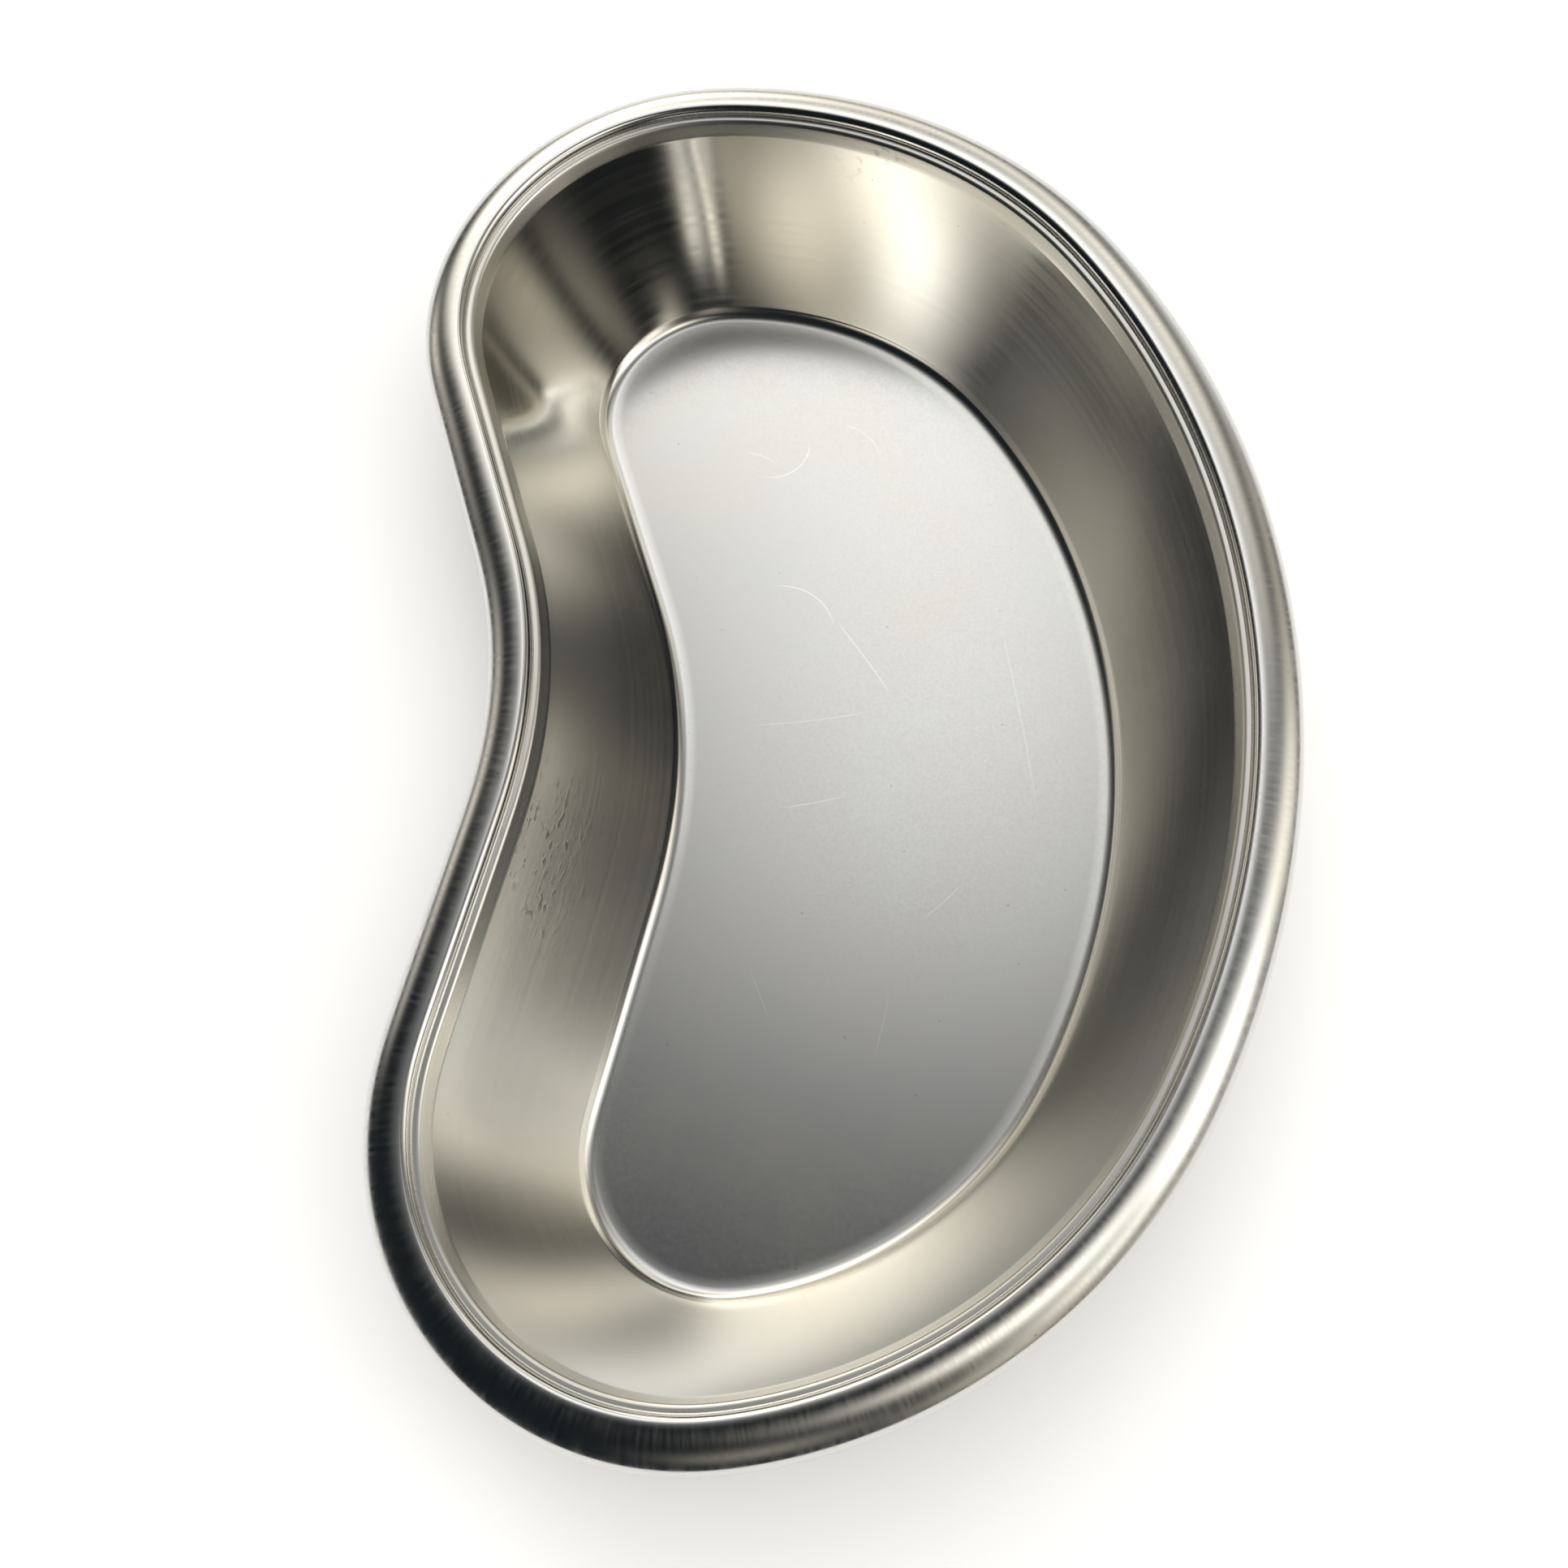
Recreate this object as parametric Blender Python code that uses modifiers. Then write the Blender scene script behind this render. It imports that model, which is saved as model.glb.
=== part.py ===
"""Kidney dish, 200 mm, pressed from stainless steel sheet.

Frame: metres, +Z up. The origin is on the surface that the dish stands on,
under the middle of the dish's bounding box. X runs along the dish, Y across
it: the hollow waist faces -Y and the round back faces +Y. The YZ plane is
the plane of symmetry.

The dish is two nodes. dish_pan is the floor, the cove round it, the hollow
wall, the band that leans out at its top, a narrow ledge and a short flange.
rolled_rim is the hollow bead that is curled over that flange. Each one is a
sheet of the same thickness, so each is an open surface, traced as the side
that shows, with Solidify.
"""
import math

import bmesh
import bpy

# Sheet and overall height
SHEET = 0.0006            # thickness of the stainless sheet
HEIGHT = 0.0310           # resting surface to the top of the bead
CLEARANCE = 0.0003        # gap between the two nodes where they meet

# Outline of the rim's outer edge, from the middle of the back to the middle
# of the waist. The arcs give a dish 200 mm long and 119 mm wide.
BACK_RADIUS = 0.1252      # long arc across the back
BACK_SWEEP = 30.5         # degrees on each side of the middle
SHOULDER_RADIUS = 0.0743  # arc from the back round to the end
SHOULDER_SWEEP = 54.7
TIP_RADIUS = 0.0407       # tight arc at the tip of each lobe
TIP_SWEEP = 110.8
WAIST_RADIUS = 0.0669     # hollow arc in the middle of the front

# Section of the pan, from the floor outwards
COVE_RADIUS = 0.0030      # fillet between the floor and the wall
WALL_FOOT = 58.0          # degrees that the wall rises where it leaves the cove
WALL_HEAD = 71.5          # and at its top: it is slightly hollow, like a bowl
KINK_RADIUS = 0.0030      # where the wall leans out into the band below the ledge
BAND_RISE = 65.0          # degrees
BAND_HEIGHT = 0.0016
LEDGE_RADIUS = 0.0007     # round from the band on to the ledge
LEDGE_RISE = 5.0          # degrees
LEDGE_WIDTH = 0.0007      # flat part of the ledge that shows
FLANGE_WIDTH = 0.0016     # the ledge carries on inside the bead

# Section of the bead, from its inner edge over the top and round under
RIM_WIDTH = 0.0064        # seen from above
BEAD_INNER_RADIUS = 0.0010
BEAD_CREST = 5.0          # degrees of rise where the broad outer slope begins
BEAD_SLOPE = 40.0         # degrees of fall where it ends
BEAD_OUTER_RADIUS = 0.0022
FLANK = 0.0012            # straight outer side
CURL_RADIUS = 0.0020      # lower outer corner
CURL_FLAT = 0.0041        # underside
CURL_END_RADIUS = 0.0015  # turn that tucks the edge up beside the wall
CURL_END_SWEEP = 114.0    # degrees

# Facets
OUTLINE_STEP = 5.6        # degrees of arc per facet along the outline
SECTION_STEP = 19.0       # degrees of arc per facet round the section
WALL_STEP = 3.6           # degrees of arc per facet up the wall
SLOPE_STEP = 9.0          # degrees of arc per facet over the bead


def arc(radius, turn, step=SECTION_STEP):
    """A stretch of path that turns left (positive) or right (negative)."""
    return ("arc", radius, math.radians(turn), max(1, round(abs(turn) / step)))


def line(length, pieces=1):
    """A straight stretch of path."""
    return ("line", length, 0.0, pieces)


def trace(start, heading, moves):
    """Follow the moves from start. Returns a list of (position, heading)."""
    u, v = start
    angle = math.radians(heading)
    path = [((u, v), angle)]
    for kind, size, turn, pieces in moves:
        if kind == "line":
            for _ in range(pieces):
                u += size / pieces * math.cos(angle)
                v += size / pieces * math.sin(angle)
                path.append(((u, v), angle))
            continue
        side = math.copysign(1.0, turn)
        centre_u = u - side * size * math.sin(angle)
        centre_v = v + side * size * math.cos(angle)
        for piece in range(1, pieces + 1):
            here = angle + turn * piece / pieces
            u = centre_u + side * size * math.sin(here)
            v = centre_v - side * size * math.cos(here)
            path.append(((u, v), here))
        angle += turn
    return path


def kidney_outline():
    """Points of the rim's outer edge with their outward normals, clockwise."""
    bend = BACK_SWEEP + SHOULDER_SWEEP + TIP_SWEEP - 180.0
    lobe = [
        arc(BACK_RADIUS, -BACK_SWEEP, OUTLINE_STEP),
        arc(SHOULDER_RADIUS, -SHOULDER_SWEEP, OUTLINE_STEP),
        arc(TIP_RADIUS, -TIP_SWEEP, OUTLINE_STEP),
    ]
    (tip_x, _), _ = trace((0.0, 0.0), 0.0, lobe)[-1]
    slope = math.radians(bend)
    flat = (tip_x - WAIST_RADIUS * math.sin(slope)) / math.cos(slope)
    front = [line(flat, 3), arc(WAIST_RADIUS, bend, OUTLINE_STEP)]
    half = trace((0.0, 0.0), 0.0, lobe + front)

    middle = 0.5 * (max(y for (_, y), _ in half) + min(y for (_, y), _ in half))
    right = [
        (x, y - middle, -math.sin(angle), math.cos(angle))
        for (x, y), angle in half
    ]
    left = [(-x, y, -nx, ny) for x, y, nx, ny in reversed(right[1:-1])]
    return right + left


def bead_section():
    """Outer side of the bead as (offset from the outline, height) points.

    It starts at the inner edge, square to the ledge. The crest is close to
    that edge, and the radius of the slope outside it is what makes the bead as
    wide as RIM_WIDTH.
    """
    start = LEDGE_RISE + 90.0
    crest = math.sin(math.radians(BEAD_CREST))
    slope = math.sin(math.radians(BEAD_SLOPE))
    inner_run = BEAD_INNER_RADIUS * (math.sin(math.radians(start)) - crest)
    outer_run = BEAD_OUTER_RADIUS * (1.0 - slope)
    slope_radius = (RIM_WIDTH - inner_run - outer_run) / (crest + slope)
    moves = [
        arc(BEAD_INNER_RADIUS, BEAD_CREST - start),
        arc(slope_radius, -BEAD_CREST - BEAD_SLOPE, SLOPE_STEP),
        arc(BEAD_OUTER_RADIUS, BEAD_SLOPE - 90.0),
        line(FLANK),
        arc(CURL_RADIUS, -90.0),
        line(CURL_FLAT),
        arc(CURL_END_RADIUS, -CURL_END_SWEEP),
    ]
    path = trace((-RIM_WIDTH, 0.0), start, moves)
    top = max(z for (_, z), _ in path)
    return [(u, z - top + HEIGHT) for (u, z), _ in path]


def pan_section(bead_edge):
    """Inner side of the pan, from the floor's edge to the end of the flange.

    The ledge passes under the bead's inner edge, one clearance below it.
    """
    edge_offset, edge_height = bead_edge
    foot = math.cos(math.radians(WALL_FOOT))
    head = math.cos(math.radians(WALL_HEAD))
    band = math.cos(math.radians(BAND_RISE))
    ledge = math.cos(math.radians(LEDGE_RISE))
    cove_top = SHEET + COVE_RADIUS * (1.0 - foot)
    kink_rise = KINK_RADIUS * (band - head)
    round_rise = LEDGE_RADIUS * (ledge - band)
    ledge_rise = LEDGE_WIDTH * math.sin(math.radians(LEDGE_RISE))
    ledge_end = edge_height - CLEARANCE
    wall_top = ledge_end - ledge_rise - round_rise - BAND_HEIGHT - kink_rise
    wall_radius = (wall_top - cove_top) / (foot - head)
    to_bead = [
        arc(COVE_RADIUS, WALL_FOOT),
        arc(wall_radius, WALL_HEAD - WALL_FOOT, WALL_STEP),
        arc(KINK_RADIUS, BAND_RISE - WALL_HEAD),
        line(BAND_HEIGHT / math.sin(math.radians(BAND_RISE))),
        arc(LEDGE_RADIUS, LEDGE_RISE - BAND_RISE),
        line(LEDGE_WIDTH),
    ]
    under_bead = [line(FLANGE_WIDTH)]
    (run, _), _ = trace((0.0, SHEET), 0.0, to_bead)[-1]
    start = (edge_offset - run, SHEET)
    path = trace(start, 0.0, to_bead + under_bead)
    return [point for point, _ in path]


def swept_sheet(name, outline, section, fill_floor, collection):
    """Extrude the outline from each section point to the next, then thicken.

    The surface is the side of the sheet that shows, and Solidify adds the
    thickness behind it.
    """
    bm = bmesh.new()
    ring = [bm.verts.new((0.0, 0.0, 0.0)) for _ in outline]
    edges = [
        bm.edges.new((vertex, ring[(index + 1) % len(ring)]))
        for index, vertex in enumerate(ring)
    ]
    place_ring(ring, outline, section[0])
    if fill_floor:
        bmesh.ops.contextual_create(bm, geom=edges)
    for point in section[1:]:
        grown = bmesh.ops.extrude_edge_only(bm, edges=edges)["geom"]
        new_edges = [item for item in grown if isinstance(item, bmesh.types.BMEdge)]
        edges = [edge for edge in new_edges if edge.is_boundary]
        ring = ring_in_order(ring, edges)
        place_ring(ring, outline, point)
    bm.normal_update()
    highest = max(bm.faces, key=lambda face: face.calc_center_median().z)
    bmesh.ops.recalc_face_normals(bm, faces=bm.faces)
    bm.normal_update()
    if highest.normal.z < 0.0:
        bmesh.ops.reverse_faces(bm, faces=bm.faces)

    mesh = bpy.data.meshes.new(name)
    bm.to_mesh(mesh)
    bm.free()
    mesh.shade_smooth()
    mesh.set_sharp_from_angle(angle=math.radians(40.0))
    sheet = bpy.data.objects.new(name, mesh)
    collection.objects.link(sheet)
    thicken = sheet.modifiers.new("sheet", "SOLIDIFY")
    thicken.thickness = SHEET
    thicken.offset = -1.0
    thicken.use_even_offset = True
    return sheet


def ring_in_order(old_ring, new_edges):
    """The vertices that the extrusion grew, in the order of the old ring."""
    grown = {vertex for edge in new_edges for vertex in edge.verts}
    return [
        next(
            edge.other_vert(vertex)
            for edge in vertex.link_edges
            if edge.other_vert(vertex) in grown
        )
        for vertex in old_ring
    ]


def place_ring(ring, outline, section_point):
    """Put a ring parallel to the outline at the section point."""
    offset, height = section_point
    for vertex, (x, y, normal_x, normal_y) in zip(ring, outline):
        vertex.co = (x + offset * normal_x, y + offset * normal_y, height)


def steel(name, colour, roughness):
    """Bare stainless steel."""
    material = bpy.data.materials.new(name)
    material.use_nodes = True
    shader = material.node_tree.nodes["Principled BSDF"]
    shader.inputs["Base Color"].default_value = (*colour, 1.0)
    shader.inputs["Metallic"].default_value = 1.0
    shader.inputs["Roughness"].default_value = roughness
    return material


def main():
    for thing in list(bpy.data.objects):
        bpy.data.objects.remove(thing, do_unlink=True)
    dish = bpy.data.collections.new("kidney_dish")
    bpy.context.scene.collection.children.link(dish)

    outline = kidney_outline()
    bead = bead_section()
    rim = swept_sheet("rolled_rim", outline, bead, False, dish)
    pan = swept_sheet("dish_pan", outline, pan_section(bead[0]), True, dish)
    rim.data.materials.append(steel("polished_steel", (0.66, 0.65, 0.62), 0.20))
    pan.data.materials.append(steel("satin_steel", (0.62, 0.61, 0.58), 0.28))


main()
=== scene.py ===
"""Looks of the stainless-steel kidney dish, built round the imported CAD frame.

The dish is one pressing of thin sheet: a flat satin floor, a cove, a leaning
polished wall that is slightly hollow, a band that leans out a little more, a
narrow ledge, and a hollow bead that is curled over outwards.
It has no moving pieces, so both visible pieces ride on the one body, "root".
Lengths are in metres and angles in degrees, in the CAD's own frame: X runs
along the dish, the hollow waist faces -Y and the round back faces +Y.
"""
import math

import bmesh
import bpy
import numpy as np
from mathutils import Matrix, Vector


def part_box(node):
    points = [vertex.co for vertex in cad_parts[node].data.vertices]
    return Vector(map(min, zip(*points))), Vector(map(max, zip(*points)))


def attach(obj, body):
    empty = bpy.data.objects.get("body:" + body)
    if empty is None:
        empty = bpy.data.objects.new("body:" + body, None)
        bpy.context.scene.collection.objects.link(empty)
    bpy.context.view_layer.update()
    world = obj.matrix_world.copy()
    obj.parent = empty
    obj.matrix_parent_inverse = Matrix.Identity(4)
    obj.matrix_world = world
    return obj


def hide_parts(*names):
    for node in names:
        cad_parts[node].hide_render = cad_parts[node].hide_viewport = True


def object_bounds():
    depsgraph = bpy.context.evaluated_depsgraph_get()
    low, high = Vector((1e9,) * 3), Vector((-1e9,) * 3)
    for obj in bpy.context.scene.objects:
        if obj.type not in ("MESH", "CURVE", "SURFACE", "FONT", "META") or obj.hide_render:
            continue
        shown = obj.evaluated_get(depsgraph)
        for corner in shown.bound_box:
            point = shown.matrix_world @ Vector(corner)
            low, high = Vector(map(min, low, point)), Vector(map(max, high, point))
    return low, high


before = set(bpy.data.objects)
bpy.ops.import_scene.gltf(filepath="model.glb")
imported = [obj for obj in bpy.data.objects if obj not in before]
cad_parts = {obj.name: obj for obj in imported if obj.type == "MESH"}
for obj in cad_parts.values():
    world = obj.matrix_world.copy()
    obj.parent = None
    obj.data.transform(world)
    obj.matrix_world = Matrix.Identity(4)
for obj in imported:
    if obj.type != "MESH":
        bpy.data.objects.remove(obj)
CAD_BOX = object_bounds()

# Sheet and height, from the frame
SHEET = 0.0006
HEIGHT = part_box("rolled_rim")[1][2]

# Outline of the rim's outer edge, from the middle of the back to the waist
BACK_RADIUS = 0.1252
BACK_SWEEP = 30.5
SHOULDER_RADIUS = 0.0743
SHOULDER_SWEEP = 54.7
TIP_RADIUS = 0.0407
TIP_SWEEP = 110.8
WAIST_RADIUS = 0.0669
OUTLINE_STEP = 0.5        # degrees of arc per piece when it is first drawn
FLAT_PIECES = 60          # pieces in its straight part
OUTLINE_POINTS = 440      # then evenly spaced round the dish
OUTLINE_EASE = 0.003      # how far the change from one arc to the next is blended

# Section of the pan, from the floor outwards
EASE_RADIUS = 0.020       # the floor lifts very slightly before the cove
EASE_SWEEP = 4.0
COVE_RADIUS = 0.0030
WALL_FOOT = 58.0
WALL_HEAD = 71.5
KINK_RADIUS = 0.0030      # where the wall leans out into the band below the ledge
BAND_RISE = 65.0
BAND_HEIGHT = 0.0016
LEDGE_RADIUS = 0.0007
LEDGE_RISE = 5.0
LEDGE_WIDTH = 0.0007
FLANGE_WIDTH = 0.0016

# Section of the bead, from the ledge over the top and round under
RIM_WIDTH = 0.0064
BEAD_ROOT_RADIUS = 0.0003  # hollow fillet between the ledge and the bead
BEAD_INNER_RADIUS = 0.0010
BEAD_CREST = 5.0
BEAD_SLOPE = 40.0
BEAD_OUTER_RADIUS = 0.0022
FLANK = 0.0012
CURL_RADIUS = 0.0020
CURL_FLAT = 0.0041
CURL_END_RADIUS = 0.0015
CURL_END_SWEEP = 114.0

SECTION_STEP = 4.0        # degrees of arc per facet round the section
WALL_STEP = 1.0

# Waves in the wall: height, length, phase, and twist from its foot to its top
WAVES = (
    (0.000020, 0.062, 0.4, 1.5),
    (0.000012, 0.037, 2.1, -2.5),
    (0.000004, 0.021, 4.0, 4.0),
)

# Finish
COOL_STEEL = (0.655, 0.658, 0.645, 1.0)
WARM_STEEL = (0.680, 0.670, 0.640, 1.0)
TAN_STEEL = (0.685, 0.669, 0.622, 1.0)
# Pale colour painted into the floor's scratches: a painted glint for the light their grooves catch
PAINTED_SCRATCH_GLINT = (0.92, 0.91, 0.89, 1.0)
DARK_PIT = (0.16, 0.15, 0.12, 1.0)
SCRATCH_GLINT_SHARE = 0.55      # share of the pale colour, a painted glint, or the dark colour in each mark
PIT_DARKENING = 0.85
SPECK_DARKENING = 0.5
FLOOR_TOP = SHEET + 0.0001   # the satin finish ends between these two heights
FLOOR_FADE = SHEET + 0.0010
FLOOR_ROUGHNESS = 0.21
WALL_ROUGHNESS = 0.13
CREST_ROUGHNESS = 0.13    # the bead's crest and inner side
SLOPE_ROUGHNESS = 0.21    # its outer slope, brushed across
LEDGE_ROUGHENING = 0.17   # added round the ledge, where the sheet was folded
PIT_ROUGHENING = 0.15
BAND_DROP = 0.0040        # from the bead's top down to where that begins
LEDGE_DROP = 0.0028       # and to where it is full
ROOT_START = 0.0005       # along the bead's section, from the ledge: where it fades
ROOT_END = 0.0013
SLOPE_START = 0.0024      # and where the brushed outer slope begins
SLOPE_END = 0.0032
SPECK_SPACING = 0.009     # size of the grid's cells
SPECK_SIZE = 0.00022

# Scale of each texture, as its number of waves per metre
GRAIN = 2600.0
SMUDGES = 45.0
DENTS = 32.0
DRAW_LINES = 1000.0
PIT_SPOTS = 1100.0
PIT_CLUMPS = 260.0
BRUSHING = 1500.0
STROKES = 1800.0
HAND_MARKS = 60.0

# How deep each one is in the relief
GRAIN_DEPTH = 0.0000003
DRAW_LINE_DEPTH = 0.0000006
DENT_DEPTH = 0.00025
PIT_DEPTH = 0.00001
SCRATCH_DEPTH = 0.000002
BRUSHING_DEPTH = 0.0000004
STROKE_DEPTH = 0.0000004
NICK_DEPTH = 0.000008

# Scratches on the floor: x and y of the middle, which way the bend bulges,
# radius of the bend, half the length, and how strong the scratch is, in its relief and its painted glint
SCRATCH_WIDTH = 0.00022
SCRATCHES = (
    (-0.0475, -0.0071, 37, 0.0057, 0.0058, 1.0),
    (-0.0505, -0.0125, 152, 0.0100, 0.0030, 0.6),
    (-0.0524, 0.0046, 129, 0.0078, 0.0050, 0.5),
    (-0.0246, -0.0050, 140, 0.0090, 0.0070, 1.0),
    (-0.0135, 0.0025, 121, 0.1500, 0.0080, 0.9),
    (-0.0035, -0.0060, 3, 0.1200, 0.0095, 0.6),
    (0.0096, -0.0055, 8, 0.0600, 0.0050, 0.8),
    (-0.0020, 0.0250, 96, 0.4000, 0.0180, 0.4),
    (0.0260, 0.0120, 40, 0.0500, 0.0040, 0.5),
    (0.0430, 0.0030, 75, 0.0700, 0.0050, 0.4),
    (0.0380, -0.0140, 110, 0.0900, 0.0045, 0.3),
)

# Where the wall is pitted: the middle, how far the pits reach, how strong they are
PITTED = (
    ((0.0210, -0.0415, 0.0195), 0.0150, 1.0),
    ((0.0300, -0.0410, 0.0180), 0.0080, 1.0),
    ((-0.0890, 0.0110, 0.0270), 0.0120, 0.4),
)

# Camera: what it looks at, where it stands as seen from there, and its lens
CAMERA_AIM = Vector((0.0190, -0.0067, HEIGHT))
CAMERA_AZIMUTH = 14.9
CAMERA_ELEVATION = 66.85
CAMERA_ROLL = 17.25
CAMERA_DISTANCE = 0.2092
LENS_LENGTH = 37.9        # millimetres
SENSOR_WIDTH = 36.0

# Stage and light
STAGE_SIZE = 3.0          # half the side of the paper floor
STAGE_GAP = 0.0001        # below the dish
PAPER = (0.92, 0.92, 0.92, 1.0)
PAPER_ROUGHNESS = 0.9
PAPER_LIGHT = 2.1
PAPER_LIGHT_ANGLE = 80.0
BACKDROP = (0.93, 0.93, 0.93, 1.0)
AMBIENT = (0.009, 0.013, 0.016)  # dim cool light of the rest of the room

# name, azimuth from +X, elevation, spread, strength, warmth
SOFTBOXES = (
    ("far_end_low", 191, 18, 11, 3.1, 2.2),
    ("far_end_back_low", 169, 18, 11, 1.2, 2.0),
    ("far_end_front", 204, 32, 11, 2.1, 1.8),
    ("far_end_front_high", 201, 46, 9, 1.0, 1.5),
    ("far_end_middle", 180, 49, 11, 1.4, 0.3),
    ("far_end_high", 180, 66, 11, 1.1, 0.3),
    ("back_high", 82, 49, 11, 2.4, 0.6),
    ("back_top", 90, 66, 11, 0.5, 0.5),
    ("back_middle", 77, 33, 11, 2.5, 1.2),
    ("back_left_top", 102, 33, 11, 1.1, 2.2),
    ("back_left_low", 101, 18, 11, 1.0, 2.0),
    ("back_left_middle", 124, 18, 11, 0.4, 2.5),
    ("back_left_high", 115, 49, 11, 0.15, 0.0),
    ("back_left", 154, 33, 11, 1.2, 2.2),
    ("back_left_floor", 140, 4, 11, 0.7, 1.0),
    ("back_floor", 80, 4, 11, 0.45, 0.5),
    ("back_right_floor", 60, 4, 11, 0.85, 2.5),
    ("overhead_right", 45, 66, 11, 2.1, 1.7),
    ("back_right_high", 49, 49, 11, 0.4, 2.5),
    ("back_right", 51, 33, 11, 1.4, 2.0),
    ("near_end", 0, 33, 11, 0.3, 2.5),
    ("near_end_low", 34, 18, 11, 0.65, 2.8),
    ("far_end_back_high", 147, 49, 11, 0.7, 1.5),
    ("front_left_low", 237, 16, 9, 1.0, 2.0),
    ("front_left_top", 225, 66, 11, 0.12, 0.0),
)


# ---------------------------------------------------------------- geometry

def arc(radius, turn, step=SECTION_STEP):
    """A stretch of path that turns left (positive) or right (negative)."""
    return ("arc", radius, math.radians(turn), max(1, round(abs(turn) / step)))


def line(length, pieces=1):
    """A straight stretch of path."""
    return ("line", length, 0.0, pieces)


def trace(start, heading, moves):
    """Follow the moves from start. Returns a list of (position, heading)."""
    u, v = start
    angle = math.radians(heading)
    path = [((u, v), angle)]
    for kind, size, turn, pieces in moves:
        if kind == "line":
            for _ in range(pieces):
                u += size / pieces * math.cos(angle)
                v += size / pieces * math.sin(angle)
                path.append(((u, v), angle))
            continue
        side = math.copysign(1.0, turn)
        centre_u = u - side * size * math.sin(angle)
        centre_v = v + side * size * math.cos(angle)
        for piece in range(1, pieces + 1):
            here = angle + turn * piece / pieces
            u = centre_u + side * size * math.sin(here)
            v = centre_v - side * size * math.cos(here)
            path.append(((u, v), here))
        angle += turn
    return path


def kidney_outline():
    """The rim's outer edge, clockwise, as evenly spaced points."""
    bend = BACK_SWEEP + SHOULDER_SWEEP + TIP_SWEEP - 180.0
    lobe = [
        arc(BACK_RADIUS, -BACK_SWEEP, OUTLINE_STEP),
        arc(SHOULDER_RADIUS, -SHOULDER_SWEEP, OUTLINE_STEP),
        arc(TIP_RADIUS, -TIP_SWEEP, OUTLINE_STEP),
    ]
    (tip_x, _), _ = trace((0.0, 0.0), 0.0, lobe)[-1]
    slope = math.radians(bend)
    flat = (tip_x - WAIST_RADIUS * math.sin(slope)) / math.cos(slope)
    front = [line(flat, FLAT_PIECES), arc(WAIST_RADIUS, bend, OUTLINE_STEP)]
    half = trace((0.0, 0.0), 0.0, lobe + front)
    half = np.array([point for point, _ in half])
    half[:, 1] -= 0.5 * (half[:, 1].max() + half[:, 1].min())
    whole = np.vstack([half, half[-2:0:-1] * (-1.0, 1.0)])
    return evenly_spaced(eased(evenly_spaced(whole)))


def evenly_spaced(points):
    """Points at equal distances along a closed line."""
    closed = np.vstack([points, points[:1]])
    steps = np.linalg.norm(np.diff(closed, axis=0), axis=1)
    length = np.concatenate([[0.0], np.cumsum(steps)])
    wanted = np.linspace(0.0, length[-1], OUTLINE_POINTS, endpoint=False)
    return np.stack([np.interp(wanted, length, closed[:, k]) for k in (0, 1)], axis=1)


def eased(points):
    """The closed line with the jumps in its curvature blended out."""
    step = np.linalg.norm(points[1] - points[0])
    reach = round(4.0 * OUTLINE_EASE / step)
    away = np.arange(-reach, reach + 1) * step
    weights = np.exp(-0.5 * (away / OUTLINE_EASE) ** 2)
    weights /= weights.sum()
    shifted = [np.roll(points, -k, axis=0) for k in range(-reach, reach + 1)]
    return sum(weight * moved for weight, moved in zip(weights, shifted))


def outward_normals(points):
    """Unit normals of a clockwise closed line, pointing out of it."""
    along = np.roll(points, -1, axis=0) - np.roll(points, 1, axis=0)
    along /= np.linalg.norm(along, axis=1)[:, None]
    return np.stack([-along[:, 1], along[:, 0]], axis=1)


def bead_section():
    """Outer side of the bead as (offset from the outline, height) points.

    A hollow fillet brings it up out of the ledge, so that the two pieces read
    as the one sheet that they are.
    """
    start = LEDGE_RISE + 90.0
    crest = math.sin(math.radians(BEAD_CREST))
    slope = math.sin(math.radians(BEAD_SLOPE))
    inner_run = BEAD_INNER_RADIUS * (math.sin(math.radians(start)) - crest)
    outer_run = BEAD_OUTER_RADIUS * (1.0 - slope)
    slope_radius = (RIM_WIDTH - inner_run - outer_run) / (crest + slope)
    over = [
        arc(BEAD_INNER_RADIUS, BEAD_CREST - start),
        arc(slope_radius, -BEAD_CREST - BEAD_SLOPE, 2.0),
        arc(BEAD_OUTER_RADIUS, BEAD_SLOPE - 90.0, 3.0),
        line(FLANK, 2),
        arc(CURL_RADIUS, -90.0, 6.0),
        line(CURL_FLAT, 2),
        arc(CURL_END_RADIUS, -CURL_END_SWEEP, 8.0),
    ]
    fillet = [arc(BEAD_ROOT_RADIUS, 90.0, 15.0)]
    root = trace((0.0, 0.0), LEDGE_RISE, fillet)
    root_u, root_v = root[-1][0]
    path = trace((-RIM_WIDTH - root_u, -root_v), LEDGE_RISE, fillet + over)
    top = max(z for (_, z), _ in path)
    return [(u, z - top + HEIGHT) for (u, z), _ in path]


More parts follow.
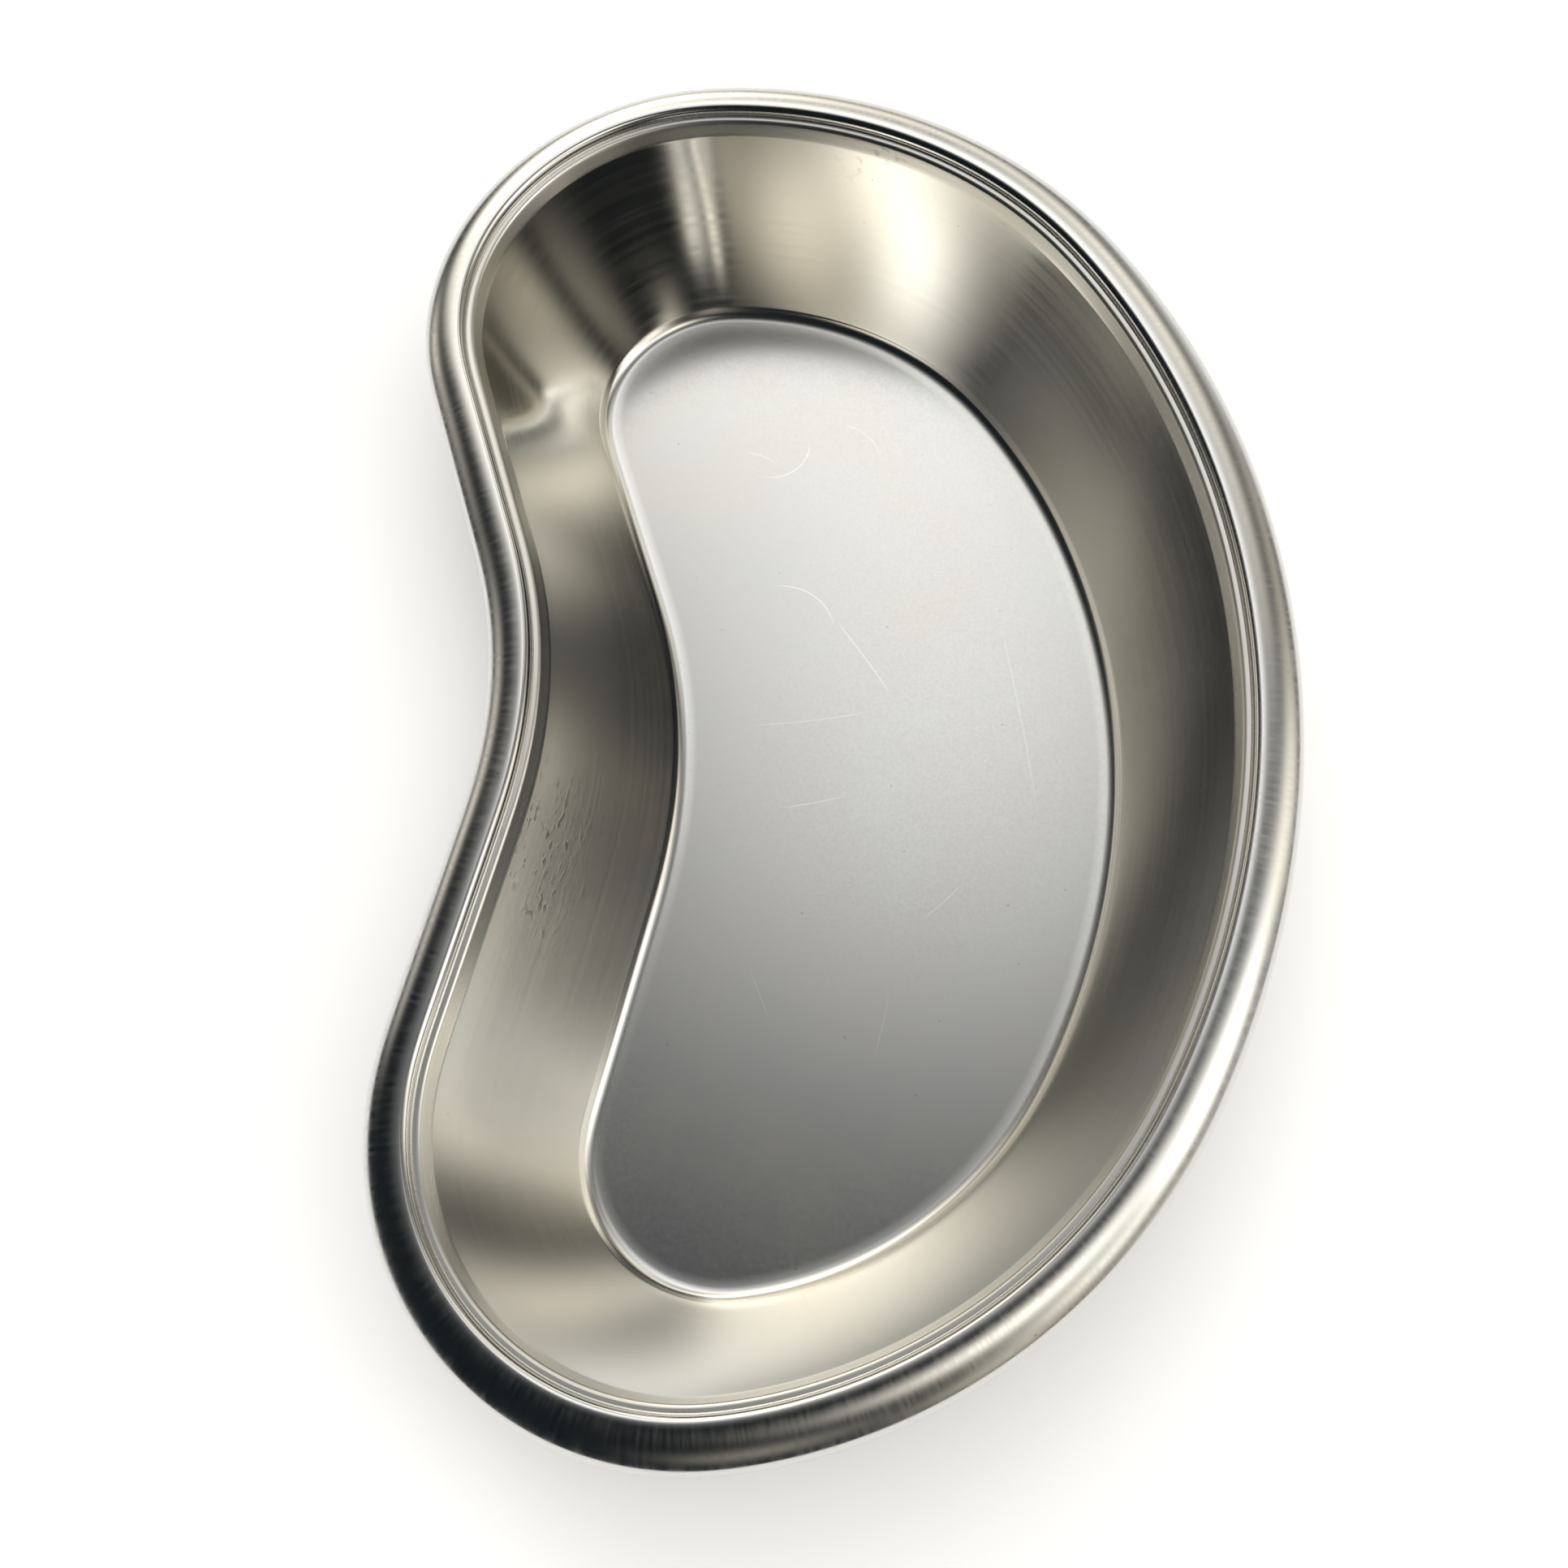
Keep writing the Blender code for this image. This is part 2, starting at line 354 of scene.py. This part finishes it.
def pan_section(ledge_end):
    """Inner side of the pan, from the floor's edge to the end of the flange."""
    end_offset, end_height = ledge_end
    foot = math.cos(math.radians(WALL_FOOT))
    head = math.cos(math.radians(WALL_HEAD))
    band = math.cos(math.radians(BAND_RISE))
    ledge = math.cos(math.radians(LEDGE_RISE))
    ease = math.cos(math.radians(EASE_SWEEP))
    cove_top = SHEET + EASE_RADIUS * (1.0 - ease) + COVE_RADIUS * (ease - foot)
    kink_rise = KINK_RADIUS * (band - head)
    round_rise = LEDGE_RADIUS * (ledge - band)
    ledge_rise = LEDGE_WIDTH * math.sin(math.radians(LEDGE_RISE))
    wall_top = end_height - ledge_rise - round_rise - BAND_HEIGHT - kink_rise
    wall_radius = (wall_top - cove_top) / (foot - head)
    to_bead = [
        arc(EASE_RADIUS, EASE_SWEEP, 0.5),
        arc(COVE_RADIUS, WALL_FOOT - EASE_SWEEP),
        arc(wall_radius, WALL_HEAD - WALL_FOOT, WALL_STEP),
        arc(KINK_RADIUS, BAND_RISE - WALL_HEAD, 1.0),
        line(BAND_HEIGHT / math.sin(math.radians(BAND_RISE)), 5),
        arc(LEDGE_RADIUS, LEDGE_RISE - BAND_RISE, 6.0),
        line(LEDGE_WIDTH),
    ]
    (run, _), _ = trace((0.0, SHEET), 0.0, to_bead)[-1]
    path = trace((end_offset - run, SHEET), 0.0, to_bead + [line(FLANGE_WIDTH, 2)])
    return [point for point, _ in path]


def swept_sheet(name, outline, section, waviness=None, floor=False):
    """Sheet whose shown side follows the section all the way round the outline.

    Its UV map is in metres, along the outline and along the section. waviness
    moves a point across the sheet by a length that depends on those two.
    """
    normals = outward_normals(outline)
    section = np.array(section)
    heading = np.gradient(section, axis=0)
    heading /= np.linalg.norm(heading, axis=1)[:, None]
    steps = np.linalg.norm(np.diff(section, axis=0), axis=1)
    across = np.concatenate([[0.0], np.cumsum(steps)])
    along = np.arange(len(outline)) * np.linalg.norm(outline[1] - outline[0])

    bm = bmesh.new()
    rings = []
    for (offset, height), (run, rise), distance in zip(section, heading, across):
        lift = waviness(along, distance / across[-1]) if waviness else np.zeros(len(outline))
        flat = outline + normals * (offset - rise * lift)[:, None]
        rings.append([bm.verts.new((x, y, height + run * up)) for (x, y), up in zip(flat, lift)])
    sweep = bm.loops.layers.uv.new("sweep")
    count = len(outline)
    for row, (inner, outer) in enumerate(zip(rings, rings[1:])):
        for index in range(count):
            after = (index + 1) % count
            face = bm.faces.new((inner[index], outer[index], outer[after], inner[after]))
            corners = ((index, row), (index, row + 1), (index + 1, row + 1), (index + 1, row))
            for loop, (column, ring) in zip(face.loops, corners):
                loop[sweep].uv = (column * along[1], across[ring])
    if floor:
        face = bm.faces.new(rings[0])
        for loop in face.loops:
            loop[sweep].uv = loop.vert.co.xy
        bmesh.ops.triangulate(bm, faces=[face])
    bm.normal_update()
    highest = max(bm.faces, key=lambda face: face.calc_center_median().z)
    if highest.normal.z < 0.0:
        bmesh.ops.reverse_faces(bm, faces=bm.faces)
    mesh = bpy.data.meshes.new(name)
    bm.to_mesh(mesh)
    bm.free()
    mesh.shade_smooth()
    sheet = bpy.data.objects.new(name, mesh)
    bpy.context.scene.collection.objects.link(sheet)
    thicken = sheet.modifiers.new("sheet", "SOLIDIFY")
    thicken.thickness = SHEET
    thicken.offset = -1.0
    thicken.use_even_offset = True
    return sheet


def wall_waviness(along, share):
    """The drawn wall isn't perfectly fair: shallow waves, none at its two edges."""
    grip = math.sin(math.pi * min(1.0, max(0.0, share))) ** 2
    return grip * sum(
        height * np.sin(2.0 * math.pi * along / length + phase + twist * share)
        for height, length, phase, twist in WAVES
    )


# --------------------------------------------------------------- materials

class Graph:
    """A node tree, written as expressions."""

    def __init__(self, tree):
        self.tree = tree

    def node(self, kind, inputs=(), **settings):
        made = self.tree.nodes.new(kind)
        for name, value in settings.items():
            setattr(made, name, value)
        for key, value in dict(inputs).items():
            self.feed(made.inputs[key], value)
        return made

    def feed(self, socket, value):
        if isinstance(value, bpy.types.NodeSocket):
            self.tree.links.new(value, socket)
        else:
            socket.default_value = value

    def math(self, operation, *values, clamp=False):
        made = self.node("ShaderNodeMath", enumerate(values), operation=operation, use_clamp=clamp)
        return made.outputs[0]

    def vector(self, operation, *values):
        made = self.node("ShaderNodeVectorMath", enumerate(values), operation=operation)
        scalar = operation in ("DOT_PRODUCT", "LENGTH", "DISTANCE")
        return made.outputs["Value" if scalar else "Vector"]

    def noise(self, place, scale, detail=2.0, stretch=(1.0, 1.0, 1.0)):
        place = self.vector("MULTIPLY", place, stretch)
        made = self.node("ShaderNodeTexNoise", {"Vector": place, "Scale": scale, "Detail": detail})
        return made.outputs["Fac"]

    def remap(self, value, low, high, to_low, to_high, smooth=False):
        made = self.node(
            "ShaderNodeMapRange",
            {0: value, 1: low, 2: high, 3: to_low, 4: to_high},
            interpolation_type="SMOOTHSTEP" if smooth else "LINEAR",
        )
        return made.outputs[0]

    def mix(self, share, first, second):
        made = self.node("ShaderNodeMix", data_type="RGBA")
        self.feed(made.inputs[0], share)
        self.feed(made.inputs[6], first)
        self.feed(made.inputs[7], second)
        return made.outputs[2]


def steel(name):
    """A bare stainless shader and its graph, with the place and the sweep map."""
    material = bpy.data.materials.new(name)
    material.use_nodes = True
    shader = material.node_tree.nodes["Principled BSDF"]
    shader.inputs["Metallic"].default_value = 1.0
    graph = Graph(material.node_tree)
    place = graph.node("ShaderNodeTexCoord").outputs["Object"]
    sweep = graph.node("ShaderNodeUVMap", uv_map="sweep").outputs[0]
    return material, shader, graph, place, sweep


def near(graph, place, middle, reach):
    """1 at the middle, fading to 0 at the reach."""
    gap = graph.vector("DISTANCE", place, middle)
    return graph.remap(gap, 0.0, reach, 1.0, 0.0, smooth=True)


def scratch_mask(graph, place):
    """Fine curved scratches on the floor, each one a stretch of a circle."""
    flat = graph.vector("MULTIPLY", place, (1.0, 1.0, 0.0))
    total = 0.0
    for x, y, facing, radius, half_length, wear_and_glint in SCRATCHES:
        outward = direction(facing, 0.0)
        centre = Vector((x, y, 0.0)) - radius * outward
        arm = graph.vector("SUBTRACT", flat, centre)
        gap = graph.math("ABSOLUTE", graph.math("SUBTRACT", graph.vector("LENGTH", arm), radius))
        line_share = graph.remap(gap, 0.0, SCRATCH_WIDTH, wear_and_glint, 0.0, smooth=True)
        end = graph.vector("DISTANCE", flat, (x, y, 0.0))
        ends = graph.remap(end, 0.5 * half_length, half_length, 1.0, 0.0, smooth=True)
        total = graph.math("MULTIPLY_ADD", line_share, ends, total)
    return total


def speck_mask(graph, sweep):
    """Small dark dots, one in some of the cells of an uneven grid."""
    cells = graph.node(
        "ShaderNodeTexVoronoi", {"Vector": sweep, "Scale": 1.0 / SPECK_SPACING}, voronoi_dimensions="2D"
    )
    dot = graph.remap(cells.outputs["Distance"], 0.0, SPECK_SIZE / SPECK_SPACING, 1.0, 0.0)
    chance = graph.node("ShaderNodeSeparateXYZ", {0: cells.outputs["Color"]}).outputs["X"]
    return graph.math("MULTIPLY", dot, graph.remap(chance, 0.55, 1.0, 0.0, 1.0))


def pit_mask(graph, place, sweep):
    """Clusters of shallow pits high on the wall, as old drawing marks."""
    spots = graph.noise(sweep, PIT_SPOTS, 1.0, stretch=(0.6, 1.0, 1.0))
    spots = graph.remap(spots, 0.57, 0.62, 0.0, 1.0)
    clumps = graph.remap(graph.noise(sweep, PIT_CLUMPS, 1.0), 0.42, 0.55, 0.0, 1.0)
    where = 0.0
    for middle, reach, strength in PITTED:
        patch = graph.math("MULTIPLY", near(graph, place, middle, reach), strength)
        where = graph.math("MAXIMUM", patch, where)
    return graph.math("MULTIPLY", graph.math("MULTIPLY", spots, clumps), where)


def pan_steel():
    """Satin floor, and a polished wall with draw lines, pits and handling marks."""
    material, shader, graph, place, sweep = steel("pan_steel")
    height = graph.node("ShaderNodeSeparateXYZ", {0: place}).outputs["Z"]
    on_floor = graph.remap(height, FLOOR_TOP, FLOOR_FADE, 1.0, 0.0, smooth=True)
    on_wall = graph.math("SUBTRACT", 1.0, on_floor)
    tilt = graph.node("ShaderNodeNewGeometry").outputs["True Normal"]
    tilt = graph.node("ShaderNodeSeparateXYZ", {0: tilt}).outputs["Z"]
    inside = graph.remap(tilt, 0.0, 0.1, 0.0, 1.0)
    by_ledge = graph.remap(height, HEIGHT - BAND_DROP, HEIGHT - LEDGE_DROP, 0.0, 1.0, smooth=True)
    grain = graph.noise(place, GRAIN, 1.0)
    smudges = graph.noise(place, SMUDGES, 4.0)
    dents = graph.noise(place, DENTS, 0.0)
    scratches = graph.math("MULTIPLY", scratch_mask(graph, place), on_floor)
    specks = speck_mask(graph, sweep)
    pits = graph.math("MULTIPLY", pit_mask(graph, place, sweep), graph.math("MULTIPLY", on_wall, inside))
    draw_lines = graph.noise(sweep, DRAW_LINES, 2.0, stretch=(0.012, 1.0, 1.0))

    patchy = graph.remap(smudges, 0.35, 0.65, 0.0, 1.0)
    wall_tone = graph.mix(patchy, WARM_STEEL, TAN_STEEL)
    floor_tone = graph.mix(patchy, COOL_STEEL, WARM_STEEL)
    tone = graph.mix(on_floor, wall_tone, floor_tone)
    # Painted glint: the scratches are made paler to stand in for the light their grooves catch; the
    # grooves themselves are in the relief below
    tone = graph.mix(graph.math("MULTIPLY", scratches, SCRATCH_GLINT_SHARE, clamp=True), tone, PAINTED_SCRATCH_GLINT)
    darkened = graph.math("MULTIPLY", pits, PIT_DARKENING)
    marks = graph.math("MAXIMUM", darkened, graph.math("MULTIPLY", specks, SPECK_DARKENING))
    tone = graph.mix(marks, tone, DARK_PIT)
    graph.feed(shader.inputs["Base Color"], tone)

    rough = graph.remap(on_floor, 0.0, 1.0, WALL_ROUGHNESS, FLOOR_ROUGHNESS)
    rough = graph.math("ADD", rough, graph.remap(smudges, 0.3, 0.7, -0.012, 0.02))
    rough = graph.math("MULTIPLY_ADD", graph.remap(draw_lines, 0.35, 0.65, -0.02, 0.02), on_wall, rough)
    rough = graph.math("MULTIPLY_ADD", graph.remap(grain, 0.3, 0.7, -0.02, 0.02), on_floor, rough)
    rough = graph.math("MULTIPLY_ADD", pits, PIT_ROUGHENING, rough)
    rough = graph.math("MULTIPLY_ADD", by_ledge, LEDGE_ROUGHENING, rough)
    graph.feed(shader.inputs["Roughness"], rough)

    fine = graph.math("MULTIPLY", grain, graph.math("MULTIPLY", on_floor, GRAIN_DEPTH))
    below_ledge = graph.math("SUBTRACT", on_wall, by_ledge)
    lines = graph.math("MULTIPLY", draw_lines, graph.math("MULTIPLY", below_ledge, DRAW_LINE_DEPTH))
    relief = graph.math("ADD", fine, lines)
    relief = graph.math("MULTIPLY_ADD", dents, graph.math("MULTIPLY", on_wall, DENT_DEPTH), relief)
    relief = graph.math("MULTIPLY_ADD", pits, -PIT_DEPTH, relief)
    relief = graph.math("MULTIPLY_ADD", scratches, -SCRATCH_DEPTH, relief)
    bump = graph.node("ShaderNodeBump", {"Height": relief, "Strength": 1.0, "Distance": 1.0})
    graph.feed(shader.inputs["Normal"], bump.outputs[0])
    return material


def rim_steel():
    """Polished bead with fine marks along it and small nicks."""
    material, shader, graph, place, sweep = steel("rim_steel")
    brushing = graph.noise(sweep, BRUSHING, 2.0, stretch=(0.03, 1.0, 1.0))
    strokes = graph.noise(sweep, STROKES, 2.0, stretch=(1.0, 0.12, 1.0))
    across = graph.node("ShaderNodeSeparateXYZ", {0: sweep}).outputs["Y"]
    on_slope = graph.remap(across, SLOPE_START, SLOPE_END, 0.0, 1.0, smooth=True)
    on_crest = graph.math("SUBTRACT", 1.0, on_slope)
    hand_marks = graph.noise(place, HAND_MARKS, 4.0)
    nicks = speck_mask(graph, sweep)

    tone = graph.mix(graph.remap(hand_marks, 0.35, 0.65, 0.0, 1.0), COOL_STEEL, WARM_STEEL)
    tone = graph.mix(graph.math("MULTIPLY", nicks, SPECK_DARKENING), tone, DARK_PIT)
    graph.feed(shader.inputs["Base Color"], tone)

    rough = graph.remap(on_slope, 0.0, 1.0, CREST_ROUGHNESS, SLOPE_ROUGHNESS)
    rough = graph.math("ADD", rough, graph.remap(hand_marks, 0.3, 0.7, -0.02, 0.02))
    rough = graph.math("ADD", rough, graph.remap(strokes, 0.3, 0.7, -0.05, 0.05))
    by_ledge = graph.remap(across, ROOT_START, ROOT_END, LEDGE_ROUGHENING, 0.0, smooth=True)
    rough = graph.math("ADD", rough, by_ledge)
    graph.feed(shader.inputs["Roughness"], rough)

    relief = graph.math("MULTIPLY", brushing, graph.math("MULTIPLY", on_crest, BRUSHING_DEPTH))
    stroke_relief = graph.math("MULTIPLY", on_slope, STROKE_DEPTH)
    relief = graph.math("MULTIPLY_ADD", strokes, stroke_relief, relief)
    relief = graph.math("MULTIPLY_ADD", nicks, -NICK_DEPTH, relief)
    bump = graph.node("ShaderNodeBump", {"Height": relief, "Strength": 1.0, "Distance": 1.0})
    graph.feed(shader.inputs["Normal"], bump.outputs[0])
    return material


# ------------------------------------------------------------------- scene

def make_dish():
    """The two visible pieces, each in place of its CAD node."""
    outline = kidney_outline()
    bead = bead_section()
    ledge_end = (bead[0][0] + BEAD_ROOT_RADIUS, bead[0][1])
    rim = swept_sheet("curled_bead", outline, bead)
    pan = swept_sheet("pressed_pan", outline, pan_section(ledge_end), wall_waviness, floor=True)
    rim.data.materials.append(rim_steel())
    pan.data.materials.append(pan_steel())
    for piece, node, slot in (
        (rim, "rolled_rim", "polished_steel"),
        (pan, "dish_pan", "satin_steel"),
    ):
        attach(piece, "root")
        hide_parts(node)


def direction(azimuth, elevation):
    """Unit vector towards a compass angle from +X and a height above the horizon."""
    turn = math.radians(azimuth)
    rise = math.radians(elevation)
    return Vector((math.cos(rise) * math.cos(turn), math.cos(rise) * math.sin(turn), math.sin(rise)))


def make_camera():
    """The camera looks down on the +X lobe's side, from close above the dish."""
    towards = direction(CAMERA_AZIMUTH, CAMERA_ELEVATION)
    side = (-towards).cross(Vector((0.0, 0.0, 1.0))).normalized()
    up = side.cross(-towards)
    roll = Matrix.Rotation(math.radians(CAMERA_ROLL), 3, -towards)
    axes = Matrix((roll @ side, roll @ up, towards)).transposed().to_4x4()
    lens = bpy.data.cameras.new("camera")
    lens.lens = LENS_LENGTH
    lens.sensor_width = SENSOR_WIDTH
    lens.clip_start = 0.01
    camera = bpy.data.objects.new("camera", lens)
    camera.matrix_world = Matrix.Translation(CAMERA_AIM + CAMERA_DISTANCE * towards) @ axes
    bpy.context.scene.collection.objects.link(camera)
    bpy.context.scene.camera = camera


def make_floor():
    """A wide sheet of pale paper that the dish stands on."""
    bm = bmesh.new()
    bmesh.ops.create_grid(bm, x_segments=1, y_segments=1, size=STAGE_SIZE)
    mesh = bpy.data.meshes.new("studio_floor")
    bm.to_mesh(mesh)
    bm.free()
    floor = bpy.data.objects.new("studio_floor", mesh)
    floor.location.z = CAD_BOX[0][2] - STAGE_GAP
    bpy.context.scene.collection.objects.link(floor)
    material = bpy.data.materials.new("pale_paper")
    material.use_nodes = True
    shader = material.node_tree.nodes["Principled BSDF"]
    shader.inputs["Base Color"].default_value = PAPER
    shader.inputs["Roughness"].default_value = PAPER_ROUGHNESS
    shader.inputs["Specular IOR Level"].default_value = 0.0
    mesh.materials.append(material)


def make_world():
    """Soft studio light: round soft boxes far away, and a pale backdrop to the eye."""
    world = bpy.data.worlds.new("studio")
    bpy.context.scene.world = world
    world.use_nodes = True
    graph = Graph(world.node_tree)
    world.node_tree.nodes.clear()
    towards = graph.node("ShaderNodeTexCoord").outputs["Generated"]
    light = AMBIENT
    for _, azimuth, elevation, spread, strength, warmth in SOFTBOXES:
        sharpness = 1.0 / (1.0 - math.cos(math.radians(spread)))
        cosine = graph.vector("DOT_PRODUCT", towards, direction(azimuth, elevation))
        fall = graph.math("MULTIPLY_ADD", cosine, sharpness, -sharpness)
        glow = graph.math("EXPONENT", fall)
        tint = Vector((1.0 + 0.03 * warmth, 1.0, 1.0 - 0.06 * warmth)) * strength
        shine = graph.node("ShaderNodeVectorMath", {0: tint, 3: glow}, operation="SCALE").outputs[0]
        light = graph.vector("ADD", shine, light)
    lit = graph.node("ShaderNodeBackground", {"Color": light})
    pale = graph.node("ShaderNodeBackground", {"Color": BACKDROP})
    seen = graph.node("ShaderNodeLightPath").outputs["Is Camera Ray"]
    both = graph.node("ShaderNodeMixShader", {0: seen, 1: lit.outputs[0], 2: pale.outputs[0]})
    graph.node("ShaderNodeOutputWorld", {"Surface": both.outputs[0]})


def make_paper_light():
    """Lights the matt floor and leaves no mirror image in the steel."""
    sun = bpy.data.lights.new("paper_light", "SUN")
    sun.energy = PAPER_LIGHT
    sun.angle = math.radians(PAPER_LIGHT_ANGLE)
    lamp = bpy.data.objects.new("paper_light", sun)
    lamp.visible_glossy = False
    bpy.context.scene.collection.objects.link(lamp)


make_camera()
make_dish()
make_floor()
make_world()
make_paper_light()
bpy.context.scene.view_settings.view_transform = "Standard"
